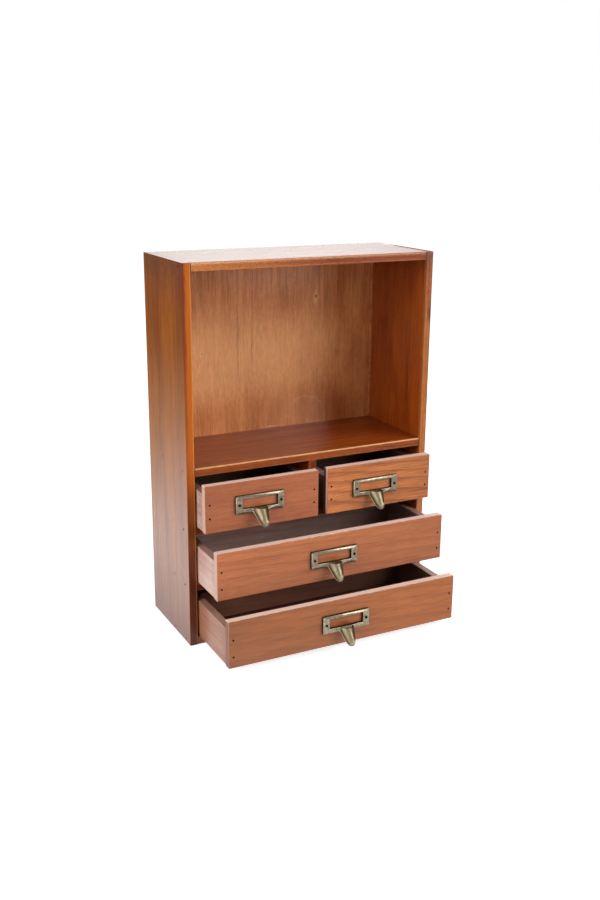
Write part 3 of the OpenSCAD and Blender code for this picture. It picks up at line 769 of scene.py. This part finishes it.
def front_finish(drawer, look):
    # the stain stops, a little raggedly, at the rounded corners of the face, whose bare top is
    # also lightened as a painted sheen; the gap between the small drawers has painted shade
    # behind it, and so does the wood round the label holder's frame
    def finish(tree, spot, colour, edges, coat, low, high):
        masks = node(tree, "Group", {
            "Vector": spot, "Low Corner": low, "Size": high - low, "Holder": holder_middle(drawer),
            "Foot Tones": look["foot_tones"], "Head Tones": look["head_tones"],
        }, node_tree=face).outputs
        across, back, _ = parted(tree, spot)
        colour = toned(tree, colour, masks["Tone"])
        if look["shade"]:
            dim = spread(tree, across, low.x, high.x, look["shade"], look["shade"] * 0.3)
            colour = tint(tree, dim, colour, SHADE)
        # the bare top takes the pale wood with its painted sheen
        raw = tint(tree, edges["Top"], tint(tree, masks["Sawn"], SAWN, look["end"]), PLANED_AND_SHEEN)
        colour = tint(tree, masks["Bare"], colour, raw)
        # painted shade on the end that lies deep in the gap between the small drawers
        if drawer == "small_right":
            behind = spread(tree, back, low.y + 0.0030, low.y + 0.0040)
            colour = daub(tree, colour, GAP_SHADE, edges["Left"], behind, 0.9)
        # painted shade under the label holder's frame
        colour = daub(tree, colour, PAINTED_HOLDER_SHADE, masks["Holder Shade"], 0.95)
        return colour, spread(tree, masks["Bare"], 0.0, 1.0, coat, 0.2)

    return finish


def inside_painted_shade(inner_face, least=0.85, in_gap=False):
    # the face inside a drawer is darkened as painted shade, from least at its left, and a board
    # in the gap between the small drawers is painted dark all over as shade but for its upper edge
    def finish(tree, spot, colour, edges, coat, low, high):
        # painted shade on the inner face, from least at its left
        inside_shade = spread(tree, parted(tree, spot)[0], low.x, high.x, least, 0.85)
        colour = daub(tree, colour, INSIDE_SHADE, edges[inner_face], inside_shade)
        if in_gap:
            # painted shade over a board in the gap between the small drawers
            colour = tint(tree, 0.9, colour, GAP_BOARD_SHADE)
        return tint(tree, edges["Top"], colour, SAWN), coat

    return finish


for count, (drawer, look) in enumerate(FRONTS.items()):
    body = drawer + "_drawer"
    name = drawer + "_front"
    stain = stained_wood(name, "x", look["dark"], look["light"], FRONT_EDGE, 1.3 * count,
                         finish=front_finish(drawer, look), figure=look["figure"], ends=0.0)
    eased_piece(name, body, stain)
    # each box's wood is made paler, partly as a painted sheen
    dull, fair = (
        [part * tone for part, tone in zip(wood, look["box_paleness_and_sheen"])] + [1] for wood in (BOX_DARK, BOX_LIGHT)
    )
    for offset, (part, along, finish) in enumerate((
        ("left_side", "y", inside_painted_shade("Right", in_gap=drawer == "small_right")),
        ("right_side", "y", inside_painted_shade("Left", in_gap=drawer == "small_left")),
        ("back", "x", inside_painted_shade("Front", least=0.75 if drawer.startswith("small") else 0.0)),
    )):
        name = drawer + "_" + part
        # the boards' ends are darkened, which at the side boards' front ends is painted shade
        stain = stained_wood(name, along, dull, fair, fair, 0.9 * count + 0.31 * offset,
                             finish=finish, ends=0.3, end_reach=0.018, coat=0.4)
        eased_piece(name, body, stain)
    name = drawer + "_bottom"
    stain = stained_wood(name, "x", FLOOR_DARK, FLOOR_LIGHT, FLOOR_DARK, 2.3 * count,
                         coat=0.0, rough=0.7, ends=0.0)
    eased_piece(name, body, stain, ease=THIN_EASE)


# ---- Label holders and finger pulls ----
# A brass casting with an antique finish, pinned to each drawer front: a bevelled frame
# with a window and a slot for the card, and a hollow curved pull on its lower rail. It is
# blackened behind its face and in the pull's crease, partly as patina and partly as painted
# shade on its walls and window lining, and rubbed bright on the edges. The pull has painted
# shade on its flanks and a painted highlight over the polish of its crown.

# Pull is the part that stands out of the frame's face. The flank mask is its right side and
# its rim, darkened as painted shade, and the crown mask is its top near the tip, which
# fingers polish, lightened further as a painted highlight. Distances out from the wood: the
# frame's bevel starts at BEVEL and its face lies at FRAME_FACE.
BEVEL = 0.0020
FRAME_FACE = 0.0024
RIM_SLOPE = math.radians(43.9)
RIM_UPWARD = (0, -math.cos(RIM_SLOPE), math.sin(RIM_SLOPE))
RIM_ROOT = (0, -0.0014, -0.0071)
patina, given, put = group(
    "brass_patina",
    [
        ("Vector", "Vector", (0, 0, 0)),
        ("Holder", "Vector", (0, 0, 0)),
    ],
    ["Black And Shade", "Bright", "Pull", "Flank Shade", "Crown And Highlight", "Mottle"],
)
place = vectors(patina, "SUBTRACT", given["Vector"], given["Holder"])
across, back, height = parted(patina, place)
out = share(patina, back, -1.0)
waver = mottle(patina, given["Vector"], (700, 700, 700), 4, -0.00015, 0.00015, 0.35, 0.65)
depth = maths(patina, "ADD", out, waver)
behind = spread(patina, depth, BEVEL + 0.0001, BEVEL - 0.0002)
rubbed = share(
    patina,
    spread(patina, depth, BEVEL - 0.0001, BEVEL + 0.0001),
    spread(patina, depth, FRAME_FACE + 0.00005, FRAME_FACE - 0.0002),
)
above_rim = vectors(patina, "DOT_PRODUCT", vectors(patina, "SUBTRACT", place, RIM_ROOT), RIM_UPWARD)
pull = spread(patina, out, FRAME_FACE + 0.0003, FRAME_FACE + 0.0006)
lip = share(patina, spread(patina, above_rim, 0.0009, 0.0006), spread(patina, above_rim, -0.0003, 0.0))
crease = share(patina, spread(patina, above_rim, 0.0006, 0.0009), spread(patina, above_rim, 0.0022, 0.0011))
# the window's lining, painted black as shade
lining_shade = spread(patina, past_edge(patina, place, WINDOW, WINDOW_RISE), 0.0003, 0.0001)
lining_shade = share(patina, lining_shade, spread(patina, out, FRAME_FACE - 0.00005, FRAME_FACE - 0.0002))
# black patina behind the face and in the crease, which on the side walls is painted shade
black = maths(patina, "MAXIMUM", behind, share(patina, pull, crease, 0.45))
# painted shade on the pull's right side and beside its rim
flank_shade = share(patina, spread(patina, across, 0.0001, 0.0016), spread(patina, height, -0.0148, -0.0126))
flank_shade = maths(patina, "MAXIMUM", flank_shade, spread(patina, above_rim, 0.0044, 0.0012))
# the crown's finger polish, brightened further as a painted highlight
crown_and_highlight = spread(patina, maths(patina, "ABSOLUTE", across), 0.0038, 0.0014)
crown_and_highlight = share(patina, pull, crown_and_highlight, spread(patina, height, -0.0128, -0.0150))
patina.links.new(maths(patina, "MAXIMUM", black, lining_shade), put["Black And Shade"])
patina.links.new(maths(patina, "MAXIMUM", rubbed, share(patina, pull, lip)), put["Bright"])
patina.links.new(pull, put["Pull"])
patina.links.new(share(patina, pull, flank_shade), put["Flank Shade"])
patina.links.new(crown_and_highlight, put["Crown And Highlight"])
tarnish = mottle(patina, given["Vector"], (330, 330, 330), 5, 0.0, 1.0, 0.36, 0.64, 0.65)
patina.links.new(tarnish, put["Mottle"])

BRASS_DARK = (0.285, 0.238, 0.170, 1)
BRASS_LIGHT = (0.570, 0.470, 0.345, 1)
PULL_BRASS = (0.36, 0.295, 0.165, 1)
FLANK_SHADE_BRASS = (0.030, 0.025, 0.012, 1)
POLISHED_AND_HIGHLIGHT_BRASS = (0.66, 0.55, 0.37, 1)
BRIGHT_BRASS = (0.72, 0.64, 0.46, 1)
BLACKENED_AND_SHADED_BRASS = (0.010, 0.007, 0.005, 1)
for drawer in FRONTS:
    name = drawer + "_label_holder"
    brass, tree = blank_material(name + "_brass")
    spot = node(tree, "TexCoord").outputs["Object"]
    aged = node(tree, "Group", {"Vector": spot, "Holder": holder_middle(drawer)}, node_tree=patina).outputs
    colour = tint(tree, aged["Mottle"], BRASS_DARK, BRASS_LIGHT)
    # the pull's brass, then painted shade on its flanks, its crown's polish with a painted highlight, rubbed
    # edges, and black patina with painted shade
    for mask, strength, shade in (
        ("Pull", 0.75, PULL_BRASS),
        ("Flank Shade", 0.88, FLANK_SHADE_BRASS),
        ("Crown And Highlight", 0.7, POLISHED_AND_HIGHLIGHT_BRASS),
        ("Bright", 0.8, BRIGHT_BRASS),
        ("Black And Shade", 0.97, BLACKENED_AND_SHADED_BRASS),
    ):
        colour = daub(tree, colour, shade, aged[mask], strength)
    rough = total(
        tree,
        spread(tree, aged["Mottle"], 0.0, 1.0, 0.50, 0.38),
        share(tree, aged["Black And Shade"], 0.3),
        share(tree, aged["Pull"], 0.10),
    )
    metal = spread(tree, aged["Black And Shade"], 0.0, 1.0, 1.0, 0.1)
    surface = node(tree, "BsdfPrincipled", {
        "Base Color": colour, "Metallic": metal, "Roughness": rough, "IOR": 1.3,
    })
    node(tree, "OutputMaterial", {"Surface": surface.outputs[0]})
    piece = smooth_piece(name + "_cast", merged_copy(name), 30, brass)
    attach(piece, drawer + "_drawer")
    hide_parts(name)
